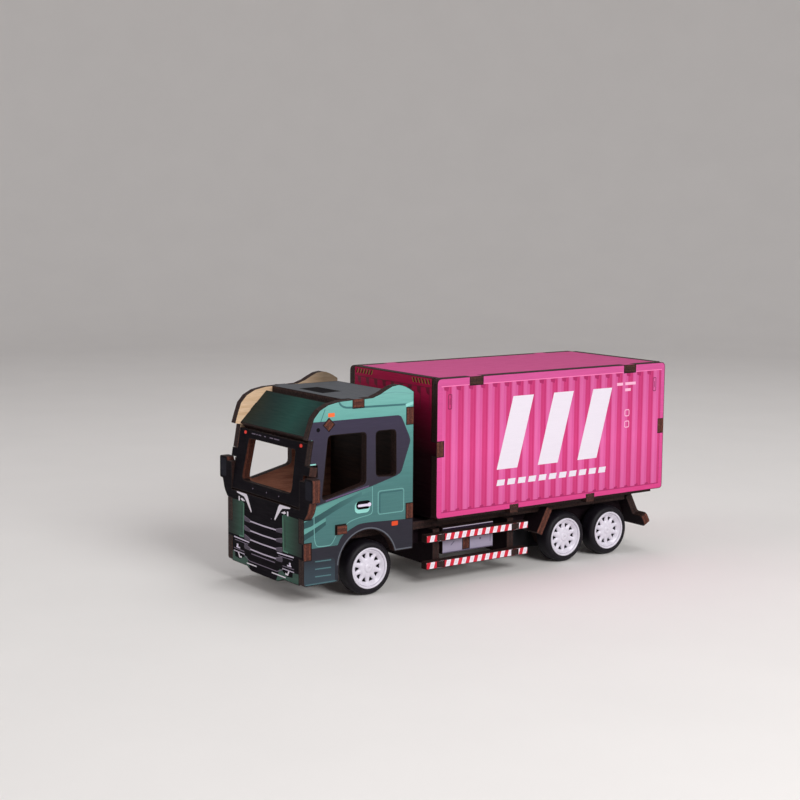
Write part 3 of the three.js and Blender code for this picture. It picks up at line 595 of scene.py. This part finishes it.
# ---- prints ------------------------------------------------------------------------------------
def cab_side_print():
    """Cab side: dark glass surround, door and locker outlines, handle, steps and the wheel arch's line."""
    navy = [(-2, 64.1), (39.4, 64.0), (40.6, 63.5), (41.3, 62.4), (44.2, 56.3), (44.7, 54.7), (44.5, 53.6),
            (41.0, 44.0), (40.2, 43.1), (38.6, 42.4), (28.2, 39.7), (7.2, 35.5), (2, 34.3), (-2, 34)]
    low = smooth([(13.9, 20.4), (15.9, 23.5), (20.4, 25.9), (24.4, 26.9), (33.3, 26.7), (48, 26.1)])
    low = [(-2, 20.4), *low, (48, 3), (-2, 3)]
    crease = smooth([(14.0, 71.5), (14.8, 69.6), (16.4, 68.5), (19.0, 68.1), (26.0, 67.9), (43.2, 67.6)])
    regions = [
        (TEAL_GLOW, [[(-2, 33), (28, 40), (28, 38), (14, 34.6), (2, 30.6), (-2, 29)]]),
        (TEAL_STREAK, [[(-1, 29.6), (3, 30.6), (14.5, 35.4), (24, 38.2), (24, 37), (13, 32.6), (3, 28.2),
                        (-1, 27.4)]]),
        (TEAL_GLOW, [[(-1, 27.4), (3, 28.2), (9, 30.6), (9, 29.4), (4, 27.2), (-1, 25.2)]]),
        (TEAL_STREAK, [[(-1, 25.2), (4, 27.2), (9, 29.4), (9, 28.0), (3.4, 24.9), (-1, 23.0)]]),
        (TEAL_DEEP, band(crease, 0.7)),
        (TEAL_LINE, band([(30.5, 72.0), (38.0, 72.3), (45.0, 71.4)], 0.3)),
        (TEAL_PALE, band([(42.6, 67.2), (46.0, 68.0)], 1.1)),
        (TEAL_DEEP, band([(8.7, 68.3), (6.9, 64.0)], 0.3)),
        (NAVY, [navy]),
        (PLUM, band([(9.0, 36.4), (27.0, 39.9)], 0.5)),
        (SHADOW, circle((5.9, 61.3), 0.75)),
        (TEAL_PALE, box(-1, 3.5, 56.6, 58.0)),
        (TEAL_PALE, box(-1, 5.0, 48.6, 49.8)),
        (ORANGE, rounded(9.9, 12.6, 65.4, 66.8, 0.3)),
        (NAVY_LOW, [low]),
        (SLATE, rounded(-2, 12.8, 5, 16.4, 1.4)),
        (ORANGE, rounded(36.8, 39.5, 24.5, 26.1, 0.3)),
        (STEP_LINE, band([(0.9, 7.9), (13.4, 7.9)], 0.3)),
        (SLATE_LINE, band(arc((26.4, 12.4), 12.55, 176, 14, 24) + [(38.8, 15.7), (45.6, 15.7)], 0.45)),
    ]
    door = smooth([(28.4, 39.6), (28.5, 33.0), (28.3, 30.4), (27.0, 29.6), (23.2, 29.1), (19.5, 28.3),
                   (17.4, 27.2)])
    front = smooth([(4.2, 33.5), (4.3, 26.5), (4.6, 22.9), (5.4, 21.2), (7.0, 20.8), (10.6, 20.8),
                    (12.0, 21.9), (13.6, 24.6)])
    regions += [(TEAL_LINE, band(door, 0.32)), (TEAL_LINE, band(front, 0.32))]
    locker = rounded(30.9, 42.0, 29.3, 37.6, 0.9)[0]
    regions += [
        (TEAL_DEEP, rounded(31.4, 41.5, 29.8, 37.1, 0.7)),
        (TEAL, rounded(31.9, 41.5, 29.8, 36.7, 0.6)),
        (TEAL_LINE, band(locker, 0.35, True)),
    ]
    for i in range(3):
        z = 15.7 - 2.65 * i
        regions.append((STEP_LINE, band([(4.7, z), (11.2, z - 0.1)], 0.42)))
    regions += [
        (TEAL_PALE, rounded(21.0, 27.4, 30.6, 34.7, 1.6)),
        (SHADOW, rounded(21.6, 27.6, 31.9, 34.9, 1.3)),
        (LILAC, rounded(22.3, 27.2, 32.8, 33.7, 0.4)),
        (LILAC, circle((27.2, 33.3), 0.75)),
    ]
    return regions


PRINT_SHIFT = -1.0  # the front print sits this far to the right side of the panel


def front_print():
    """Front panel: lamps, green corners, four grille bars with their winglets, and the mirrors' glass."""
    c = PRINT_SHIFT
    bars = (24.1, 20.6, 17.3, 13.8)
    sides = [
        (GREEN_FADE, [[(c + 13.2, 30.0), (c + 14.2, 30.6), (c + 26, 30.4), (c + 26, 17.4),
                       (c + 13.6, 17.4)]]),
        (GREEN_PALE, band([(c + 13.5, 30.0), (c + 13.9, 17.6), (c + 17.0, 17.5)], 0.55)),
        (GREEN_DEEP, band([(c + 14.9, 29.0), (c + 15.2, 19.0)], 0.5)),
        (GREEN, [[(c + 11.3, 10.7), (c + 26, 11.3), (c + 26, 6.0), (c + 9, 6.0)]]),
        (SHADOW, [[(c + 12.0, 10.9), (c + 20.2, 11.1), (c + 20.0, 9.2), (c + 16.4, 8.9)]]),
        (LILAC, band([(c + 9.7, 16.2), (c + 20.8, 16.5)], 0.42)),
        (SILVER_DIM, band([(c + 10.6, 15.3), (c + 20.2, 15.5)], 0.25)),
        (LILAC, band([(c + 16.4, 12.9), (c + 19.2, 13.0)], 0.5)),
        (LILAC, box(c + 17.7, c + 18.8, 13.2, 14.2)),
        (SILVER_DIM, band([(c + 13.4, 12.2), (c + 21.0, 12.3)], 0.3)),
        (SILVER, band([(c + 13.2, 11.2), (c + 21.0, 11.3)], 0.35)),
        (WHITE, [[(c + 15.2, 9.4), (c + 17.0, 9.3), (c + 18.0, 11.1), (c + 17.2, 11.1), (c + 16.5, 9.9),
                  (c + 15.2, 10.1)]]),
        (WHITE, [[(c + 18.6, 33.7), (c + 18.4, 33.2), (c + 13.4, 32.5), (c + 12.2, 31.6), (c + 8.3, 27.4),
                  (c + 7.9, 27.9), (c + 10.7, 32.9), (c + 11.6, 33.7)]]),
        (WHITE, [[(c + 12.4, 30.9), (c + 14.8, 31.8), (c + 15.9, 31.3), (c + 14.6, 30.7)]]),
        (WHITE, rounded(c + 16.4, c + 17.3, 30.4, 32.1, 0.3)),
    ]
    for z in bars:
        blade = [(c + 8.9, z - 0.6), (c + 8.9, z + 0.5), (c + 13.2, z + 1.5), (c + 13.5, z + 0.3),
                 (c + 13.0, z - 0.5)]
        sides += [(WINGLET, [blade]), (SILVER_DIM, band([(c + 8.9, z + 0.4), (c + 13.2, z + 1.4)], 0.22))]
    regions = both(sides, c)
    for z in bars:
        regions.append((SILVER, band([(c - 9.0, z + 0.05), (c, z - 0.1), (c + 9.0, z + 0.05)], 0.5)))
    regions += [
        (SILVER_DIM, band([(c - 8.3, 12.3), (c + 8.3, 12.3)], 0.35)),
        (SILVER_DIM, band([(c - 13.6, 10.9), (c - 9.6, 9.4), (c + 9.6, 9.4), (c + 13.6, 10.9)], 0.28)),
        (WHITE, band([(c - 11.6, 8.3), (c - 4.6, 8.3)], 0.42)),
        (WHITE, band([(c + 6.0, 8.3), (c + 15.4, 8.3)], 0.42)),
        (SILVER_DIM, circle((c + 5.8, 27.6), 0.25)),
    ]
    return both([(MIRROR, rounded(27.3, 31.3, 38.0, 44.6, 0.8))]) + regions


def windscreen_print():
    """A row of plain dashes between two marker lamps, and the wipers' pivots."""
    marks = [(SILVER_DIM, box(x, x + w, 55.1, 55.45)) for x, w in
             ((-14.5, 2.6), (-11.2, 0.8), (-9.7, 1.8), (-5.8, 1.2), (-2.0, 2.4), (1.0, 3.6))]
    pivots = [(SILVER_DIM, circle((x, 36.3), 0.28)) for x in (-8.5, 1.0, 9.4)]
    lamp = [(19.0 + 0.95 * math.cos(a), 55.2 + 0.62 * math.sin(a))
            for a in np.linspace(0, 2 * math.pi, 18)[:-1]]
    return both([(SCARLET, [lamp])]) + marks + pivots


def roof_print():
    """A dark hatch."""
    return [(SHADOW, [[(-10.2, 20.8), (6.0, 20.6), (4.6, 29.6), (-11.0, 29.2)]])]


def flank_print():
    """Container side: plain rails round the flutes, door latches, and a plain graphic of slanted bars."""
    top, base = 72.9, 27.2
    regions = [
        (PINK_RAIL, box(50, 175, top, 80)),
        (PINK_RAIL, box(50, 175, 20, base)),
        (PINK_RAIL, box(50, 57.6, 20, 80)),
        (PINK_RAIL, box(166.6, 175, 20, 80)),
        (PINK_DEEP, band([(57.4, base), (166.8, base)], 0.35)),
        (PINK_LIGHT, band([(57.0, top + 0.2), (167.2, top + 0.2)], 0.3)),
        (PINK_DEEP, band([(166.8, base), (166.8, top)], 0.3)),
    ]
    for i in range(19):
        y = 58.6 + FLUTE_PITCH * i
        above = [(y - 0.6, top), (y + 1.8, top), (y + 1.5, top - 1.7), (y - 0.3, top - 1.2)]
        below = [(y - 0.4, base), (y + 1.6, base), (y + 1.3, base + 1.0), (y - 0.2, base + 0.7)]
        regions += [(PINK_DEEP, [above]), (PINK_DEEP, [below])]
    for y in (60.9, 163.4):
        latch = rounded(y - 0.75, y + 0.75, 64.8, 70.0, 0.3)[0]
        regions += [(PLUM_INK, band(latch, 0.28, True)), (PLUM_INK, band([(y, 68.6), (y, 66.2)], 0.28))]
    low, high, lean, width = 40.5, 67.5, 7.5, 9.92
    for y in (83, 103, 123):
        bar = [(y, low), (y + width, low), (y + width + lean, high), (y + lean, high)]
        regions.append((WHITE, [bar]))
    for i in range(11):
        y = 83.0 + 5.1 * i
        regions.append((WHITE, [[(y, 34.4), (y + 3.6, 34.4), (y + 4.1, 36.6), (y + 0.5, 36.6)]]))
    for y, z, width in ((143.0, 68.0, 3.2), (147.4, 68.0, 5.6), (147.4, 65.6, 3.0)):
        regions.append((PINK_PALE, box(y, y + width, z, z + 1.1)))
    for z in (52.5, 57.0):
        regions.append((PINK_PALE, band(rounded(147.6, 149.8, z - 1.2, z + 1.2, 0.5)[0], 0.35, True)))
    return regions


def headboard_print():
    """Front wall: a plain rail above the ribs, with short slanted dashes in its upper corners."""
    rail = 72.4
    regions = [(CRIMSON_LOW, band([(-26, rail), (26, rail)], 0.3))]
    for i in range(9):
        x = -22.0 + 5.5 * i
        rib = [(x - 0.9, rail), (x + 1.5, rail), (x + 1.2, 69.6), (x - 0.5, 70.4)]
        regions += [(CRIMSON_LOW, [rib]), (CRIMSON_LOW, band([(x + 1.3, 72.0), (x + 1.3, 64.0)], 0.35))]
    for i in range(6):
        x = 13.2 + 1.9 * i
        regions += both([(SHADOW, [[(x + 0.7, 73.6), (x + 1.2, 73.6), (x + 0.4, 75.3), (x - 0.1, 75.3)]]),
                         (OCHRE, [[(x, 73.6), (x + 0.7, 73.6), (x - 0.1, 75.3), (x - 0.8, 75.3)]])])
    return regions


def doors_print():
    """Rear doors: two leaves with lock rods, handles and hinges."""
    leaf = [
        (PINK_RAIL, box(-1, 30, 20, 80)),
        (PINK_SIDE, box(2.0, 21.8, 28.0, 71.0)),
        (PINK_DEEP, band([(0.0, 26.0), (0.0, 73.0)], 0.5)),
        (PINK_DEEP, band(rounded(2.0, 21.8, 28.0, 71.0, 0.8)[0], 0.4, True)),
        (SILVER, band([(6.0, 26.6), (6.0, 72.2)], 0.7)),
        (SILVER, band([(17.0, 26.6), (17.0, 72.2)], 0.7)),
    ]
    for z in (28.5, 48.5, 69.5):
        leaf += [(SILVER_DIM, rounded(x - 1, x + 1, z - 0.8, z + 0.8, 0.3)) for x in (6.0, 17.0)]
    for z in (32.0, 44.5, 56.5, 68.0):
        leaf.append((PINK_DEEP, rounded(21.2, 23.8, z - 1.1, z + 1.1, 0.3)))
    leaf += [(SILVER, band([(6.0, 41.5), (11.5, 41.0)], 0.8)),
             (SILVER, band([(17.0, 39.0), (11.8, 38.6)], 0.8))]
    return both(leaf)


def guard_print(low):
    """Slanted red and white stripes, with a thin pair of grey lines in each white one."""
    regions = []
    pitch, width, lean = 3.66, 1.75, 1.5
    for i in range(14):
        y = 51.6 + pitch * i
        stripe = [(y, low - 1), (y + width, low - 1), (y + width + lean, low + 4), (y + lean, low + 4)]
        regions.append((RED, [stripe]))
        for line in (y + 2.95, y + 3.5):
            regions.append((SILVER, band([(line, low + 0.7), (line + 0.4, low + 2.1)], 0.16)))
    return regions


def toolbox_print():
    """A plain silver box front with thin outlines; its upper part is dark with one thin line."""
    return [
        (MAUVE, box(55, 95, 17.6, 25)),
        (SILVER, band([(58, 19.9), (90, 19.9)], 0.4)),
        (PENCIL, band([(58, 10.7), (90, 10.7)], 0.3)),
        (PENCIL, band([(62.4, 15.2), (64.2, 17.0), (68.6, 17.0), (69.6, 15.8)], 0.25)),
        (PENCIL, band([(66.0, 13.2), (67.6, 14.6)], 0.3)),
        (PENCIL, band([(76.6, 15.6), (77.4, 16.8), (82.8, 16.8), (84.6, 15.0), (84.6, 12.4)], 0.25)),
        (PENCIL, circle((79.8, 14.2), 0.45)),
    ]


def bumper_print():
    """Tail lamps at both ends of the bar."""
    lamp = [(WINGLET, rounded(15.6, 24.2, 8.0, 12.6, 0.6)), (RED, rounded(16.2, 19.6, 8.6, 12.0, 0.4)),
            (ORANGE, rounded(20.0, 21.8, 8.6, 12.0, 0.3)), (WHITE, rounded(22.2, 23.7, 8.6, 12.0, 0.3))]
    return both(lamp)


X, Y, Z = (1, 0, 0), (0, 1, 0), (0, 0, 1)
BACKWARD, DOWNWARD = (0, -1, 0), (0, 0, -1)


def build_panels():
    def panel(node, normal, base, regions=(), **finish):
        Sheet(node, normal).build(node + "_print", base, regions, **finish)

    for side, out in (("left", X), ("right", (-1, 0, 0))):
        panel(f"cab_side_{side}", out, TEAL, cab_side_print(), back=BARE_SHADE_AND_LIGHT)
        panel(f"container_side_{side}", out, FLUTES, flank_print())
        panel(f"chassis_rail_{side}", out, DARK, back=DARK)
        panel(f"side_guard_upper_{side}", out, HAZARD_WHITE, guard_print(16.2))
        panel(f"side_guard_lower_{side}", out, HAZARD_WHITE, guard_print(6.3))
        panel(f"toolbox_panel_{side}", out, PEWTER, toolbox_print())
        panel(f"mudflap_{side}", (0, -math.cos(LEAN), math.sin(LEAN)), DARK, back=DARK)
    panel("cab_front_panel", BACKWARD, NIGHT, front_print(), back=CABIN_SHADE)
    panel("cab_windscreen_panel", (0, -math.cos(RAKE), math.sin(RAKE)), NIGHT, windscreen_print(), back=CABIN_SHADE,
          tabs=EDGE_HALF_SHADE, reveal=EDGE_LIT)
    panel("cab_visor", (0, -math.sqrt(0.5), math.sqrt(0.5)), VISOR)
    panel("cab_roof", Z, ROOF_GREY, roof_print(), back=BARE_SHADE_AND_LIGHT)
    panel("cab_rear_panel", Y, NIGHT, back=CABIN_SHADE)
    panel("cab_floor", Z, CABIN_SHADE, back=CABIN_SHADE)
    panel("container_roof", Z, PINK_ROOF, tabs=EDGE_HALF_SHADE)
    panel("container_front_wall", BACKWARD, CRIMSON_SHADED, headboard_print())
    panel("container_rear_wall", Y, PINK_RAIL, doors_print())
    panel("container_floor", DOWNWARD, DARK, back=BACK, tabs=EDGE_HALF_SHADE)
    panel("chassis_deck", Z, DARK, back=DARK, tabs=EDGE_SHADE)
    for node in ("side_guard_bracket_front", "side_guard_bracket_rear"):
        panel(node, BACKWARD, DARK, back=DARK, tabs=EDGE_SHADE)
    panel("toolbox_bracket", BACKWARD, DARK, back=DARK)
    panel("rear_bumper_plate", (0, math.cos(LEAN), math.sin(LEAN)), DARK, bumper_print(), back=DARK)


build_panels()


# ---- wheels ------------------------------------------------------------------------------------
SPOKES = 10
WHEEL_X = 20.8  # middle of a wheel
WHEEL_RADIUS = 9.75
AXLES = (("front", 28.9), ("drive", 121.3), ("rear", 144.1))
RIM = plastic("rim_white", "d6d1dd", 0.32, fleck=0.02, coat=0.3)
# Near black for the inside of the white rim's barrel, seen through the face's openings: painted shade.
RIM_SHADE = plastic("rim_painted_shade", "1a1620", 0.7)
TYRE = plastic("tyre_black", "141017", 0.55, fleck=0.15, relief=0.06, gloss=0.22)


def lathe(profile, segments=96):
    """A closed ring about the x axis from (radius, x) points."""
    verts, faces = [], []
    count = len(profile)
    for i in range(segments):
        a = 2 * math.pi * i / segments
        verts += [(x, r * math.cos(a), r * math.sin(a)) for r, x in profile]
        for k in range(count):
            here, there = i * count, (i + 1) % segments * count
            faces.append((here + k, here + (k + 1) % count, there + (k + 1) % count, there + k))
    return verts, faces


def wheel_face():
    """The dished face: ten bulging spokes between wells, each well cut through by a wedge-shaped opening."""
    rings = [  # radius, distance out, half width of the opening as a share of a spoke's turn
        (1.0, 2.2, 0.13), (1.9, 2.18, 0.13), (2.7, 2.1, 0.13), (3.2, 2.02, 0.12), (3.6, 1.96, 0.13),
        (4.1, 1.9, 0.2), (4.7, 1.86, 0.28), (5.3, 1.9, 0.34), (5.8, 2.05, 0.36), (6.2, 2.3, 0.33),
        (6.7, 2.75, 0.28),
    ]
    open_from, open_to = 3.5, 5.2
    well_radius, well_width, well_depth = 4.6, 1.1, 1.3
    columns = 8
    total = SPOKES * columns
    verts, faces = [], []
    for r, out, half in rings:
        step = (0.5 - half) / 3
        shares = [0.0, half, half + step, half + 2 * step, 0.5, 1 - half - 2 * step, 1 - half - step,
                  1 - half]
        sink = well_depth * math.exp(-(((r - well_radius) / well_width) ** 2))
        for j in range(total):
            share = shares[j % columns]
            angle = 2 * math.pi * (j // columns + share) / SPOKES
            well = 0.5 + 0.5 * math.cos(2 * math.pi * share)
            verts.append((out - sink * well, r * math.cos(angle), r * math.sin(angle)))
    for i in range(len(rings) - 1):
        cut = open_from < rings[i][0] < open_to
        for j in range(total):
            if not (cut and j % columns in (0, columns - 1)):
                k = (j + 1) % total
                faces.append((i * total + j, i * total + k, (i + 1) * total + k, (i + 1) * total + j))
    centre = len(verts)
    verts.append((2.1, 0.0, 0.0))
    faces += [(centre, (j + 1) % total, j) for j in range(total)]
    return verts, faces


def mesh_of(name, parts, middle, out, materials):
    """One mesh from (verts, faces, repeating material numbers) parts, at a wheel's middle and facing out."""
    verts, faces, slots = [], [], []
    for part_verts, part_faces, index in parts:
        start = len(verts)
        verts += [((middle[0] + x * out) * MM, (middle[1] - MIDDLE + y) * MM, (middle[2] + z) * MM)
                  for x, y, z in part_verts]
        for number, face in enumerate(part_faces):
            ring = [start + i for i in face]
            faces.append(ring if out > 0 else ring[::-1])
            slots.append(index[number % len(index)])
    mesh = bpy.data.meshes.new(name)
    mesh.from_pydata(verts, [], faces)
    for material in materials:
        mesh.materials.append(material)
    mesh.polygons.foreach_set("material_index", slots)
    mesh.polygons.foreach_set("use_smooth", [True] * len(faces))
    return mesh


def build_wheels():
    """Each wheel is a rim's barrel and hub, the face that closes it, and a tyre; outlines are (radius, x)."""
    barrel = [(2.0, -2.6), (6.1, -2.9), (7.44, -3.2), (7.44, 3.2), (7.36, 3.38), (7.15, 3.46), (6.9, 3.42),
              (6.72, 3.2), (6.6, 2.75), (6.5, 2.2), (6.3, 1.0), (5.8, -1.8), (2.0, -1.9)]
    # The barrel's inner faces seen through the openings take the near black rim material as painted shade.
    shaded_barrel_faces = [1 if 8 <= k <= 11 else 0 for k in range(len(barrel))]  # those seen through the openings
    hub = [(0.05, 2.0), (0.05, 2.95), (0.9, 2.92), (1.5, 2.8), (1.8, 2.55), (1.95, 2.2), (2.0, 1.4),
           (0.05, 1.4)]
    tyre = [(7.45, 3.05), (7.5, 3.3), (7.7, 3.46), (8.0, 3.5), (8.4, 3.48), (8.8, 3.36), (9.2, 3.1),
            (9.5, 2.7), (9.68, 2.2), (9.75, 1.6), (9.75, -1.6), (9.68, -2.2), (9.5, -2.7), (9.2, -3.1),
            (8.8, -3.36), (8.0, -3.5), (7.45, -3.25)]
    rim_parts = [(*lathe(barrel), shaded_barrel_faces), (*lathe(hub, 48), [0])]
    for axle, y in AXLES:
        for side, out in (("left", 1), ("right", -1)):
            middle = (WHEEL_X * out, y, WHEEL_RADIUS)
            rim_name, tyre_name = f"{axle}_rim_{side}_moulded", f"{axle}_tyre_{side}_moulded"
            show(rim_name, mesh_of(rim_name, rim_parts, middle, out, [RIM, RIM_SHADE]), f"{axle}_rim_{side}")
            face_mesh = mesh_of(f"{axle}_wheel_face_{side}", [(*wheel_face(), [0])], middle, out, [RIM])
            face = bpy.data.objects.new(f"{axle}_wheel_face_{side}", face_mesh)
            bpy.context.scene.collection.objects.link(face)
            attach(face, f"{axle}_wheels")
            thick = face.modifiers.new("thickness", "SOLIDIFY")
            thick.thickness = 0.4 * MM
            thick.offset = -1.0
            soft = face.modifiers.new("soft", "SUBSURF")
            soft.levels = soft.render_levels = 2
            tyre_mesh = mesh_of(tyre_name, [(*lathe(tyre, 128), [0])], middle, out, [TYRE])
            show(tyre_name, tyre_mesh, f"{axle}_tyre_{side}")


build_wheels()


# ---- frame parts that keep their meshes --------------------------------------------------------
STEEL = brushed_steel("steel_drawn", "x")
NYLON = plastic("nylon_cream", "e4dcc4", 0.42)
HOUSING = plastic("housing_grey", "17161a", 0.55, fleck=0.08, gloss=0.25)
FINISHES = {"steel": STEEL, "nylon": NYLON, "housing_plastic": HOUSING}
for node, piece in NODES.items():
    if SLOT_OF[node] in FINISHES:
        piece.data.materials.clear()
        piece.data.materials.append(FINISHES[SLOT_OF[node]])


# ---- stage, light and camera, in metres --------------------------------------------------------
def build_stage():
    """A pale floor that curves up into a round wall."""
    level, bend, height, segments = 0.9, 0.5, 1.6, 64
    profile = [(0.0, 0.0), (level, 0.0)]
    for i in range(1, 11):
        a = math.pi / 2 * i / 10
        profile.append((level + bend * math.sin(a), bend - bend * math.cos(a)))
    profile.append((level + bend, height))
    verts, faces = [], []
    for i in range(segments):
        a = 2 * math.pi * i / segments
        verts += [(r * math.cos(a), r * math.sin(a), z) for r, z in profile]
        for k in range(len(profile) - 1):
            here, there = i * len(profile), (i + 1) % segments * len(profile)
            faces.append((here + k, here + k + 1, there + k + 1, there + k))
    mesh = bpy.data.meshes.new("floor")
    mesh.from_pydata(verts, [], faces)
    mesh.polygons.foreach_set("use_smooth", [True] * len(faces))
    g = Graph("floor_paper")
    tone = g.shade(rgb("e9e6e4"), g.span(g.noise(0.02, 3.0), 0.3, 0.7, 0.98, 1.0))
    mesh.materials.append(g.finish(tone, 0.8, specular=0.2))
    floor = bpy.data.objects.new("floor", mesh)
    bpy.context.scene.collection.objects.link(floor)


def area_light(name, place, target, size, power):
    """A round white light of a size in metres and a power in watts, turned to its target."""
    data = bpy.data.lights.new(name, "AREA")
    data.shape, data.size, data.energy = "DISK", size, power
    light = bpy.data.objects.new(name, data)
    light.location = place
    light.rotation_mode = "QUATERNION"
    light.rotation_quaternion = (Vector(target) - Vector(place)).to_track_quat("-Z", "Y")
    bpy.context.scene.collection.objects.link(light)


def build_lights():
    world = bpy.data.worlds.new("studio")
    world.use_nodes = True
    background = world.node_tree.nodes["Background"].inputs
    background["Color"].default_value = rgb("eeeef2")
    background["Strength"].default_value = 0.3
    bpy.context.scene.world = world
    area_light("key", (0.78, -0.02, 0.5), (0, 0, 0.04), 0.5, 6.2)
    area_light("fill", (-0.25, -0.75, 0.4), (0, -0.04, 0.04), 0.5, 1.5)
    area_light("top", (-0.1, 0.3, 0.9), (0, 0, 0.04), 0.6, 1.8)


def build_camera():
    """Placed round the point it looks at by azimuth, elevation and roll in degrees."""
    azimuth, elevation, roll = (math.radians(v) for v in (54.354, 7.31, 0.428))
    target, distance, lens = Vector((-0.09174, 0.040112, 0.050704)), 0.685138, 68.81
    level = math.cos(elevation)
    back = Vector((math.sin(azimuth) * level, -math.cos(azimuth) * level, math.sin(elevation)))
    data = bpy.data.cameras.new("camera")
    data.lens, data.sensor_width = lens, 36
    data.clip_start, data.clip_end = 0.01, 20
    camera = bpy.data.objects.new("camera", data)
    camera.rotation_mode = "QUATERNION"
    camera.location = target + back * distance
    tilt = Matrix.Rotation(roll, 4, "Z").to_quaternion()
    camera.rotation_quaternion = (-back).to_track_quat("-Z", "Y") @ tilt
    bpy.context.scene.collection.objects.link(camera)
    bpy.context.scene.camera = camera


build_stage()
build_lights()
build_camera()
bpy.context.scene.view_settings.view_transform = "Standard"
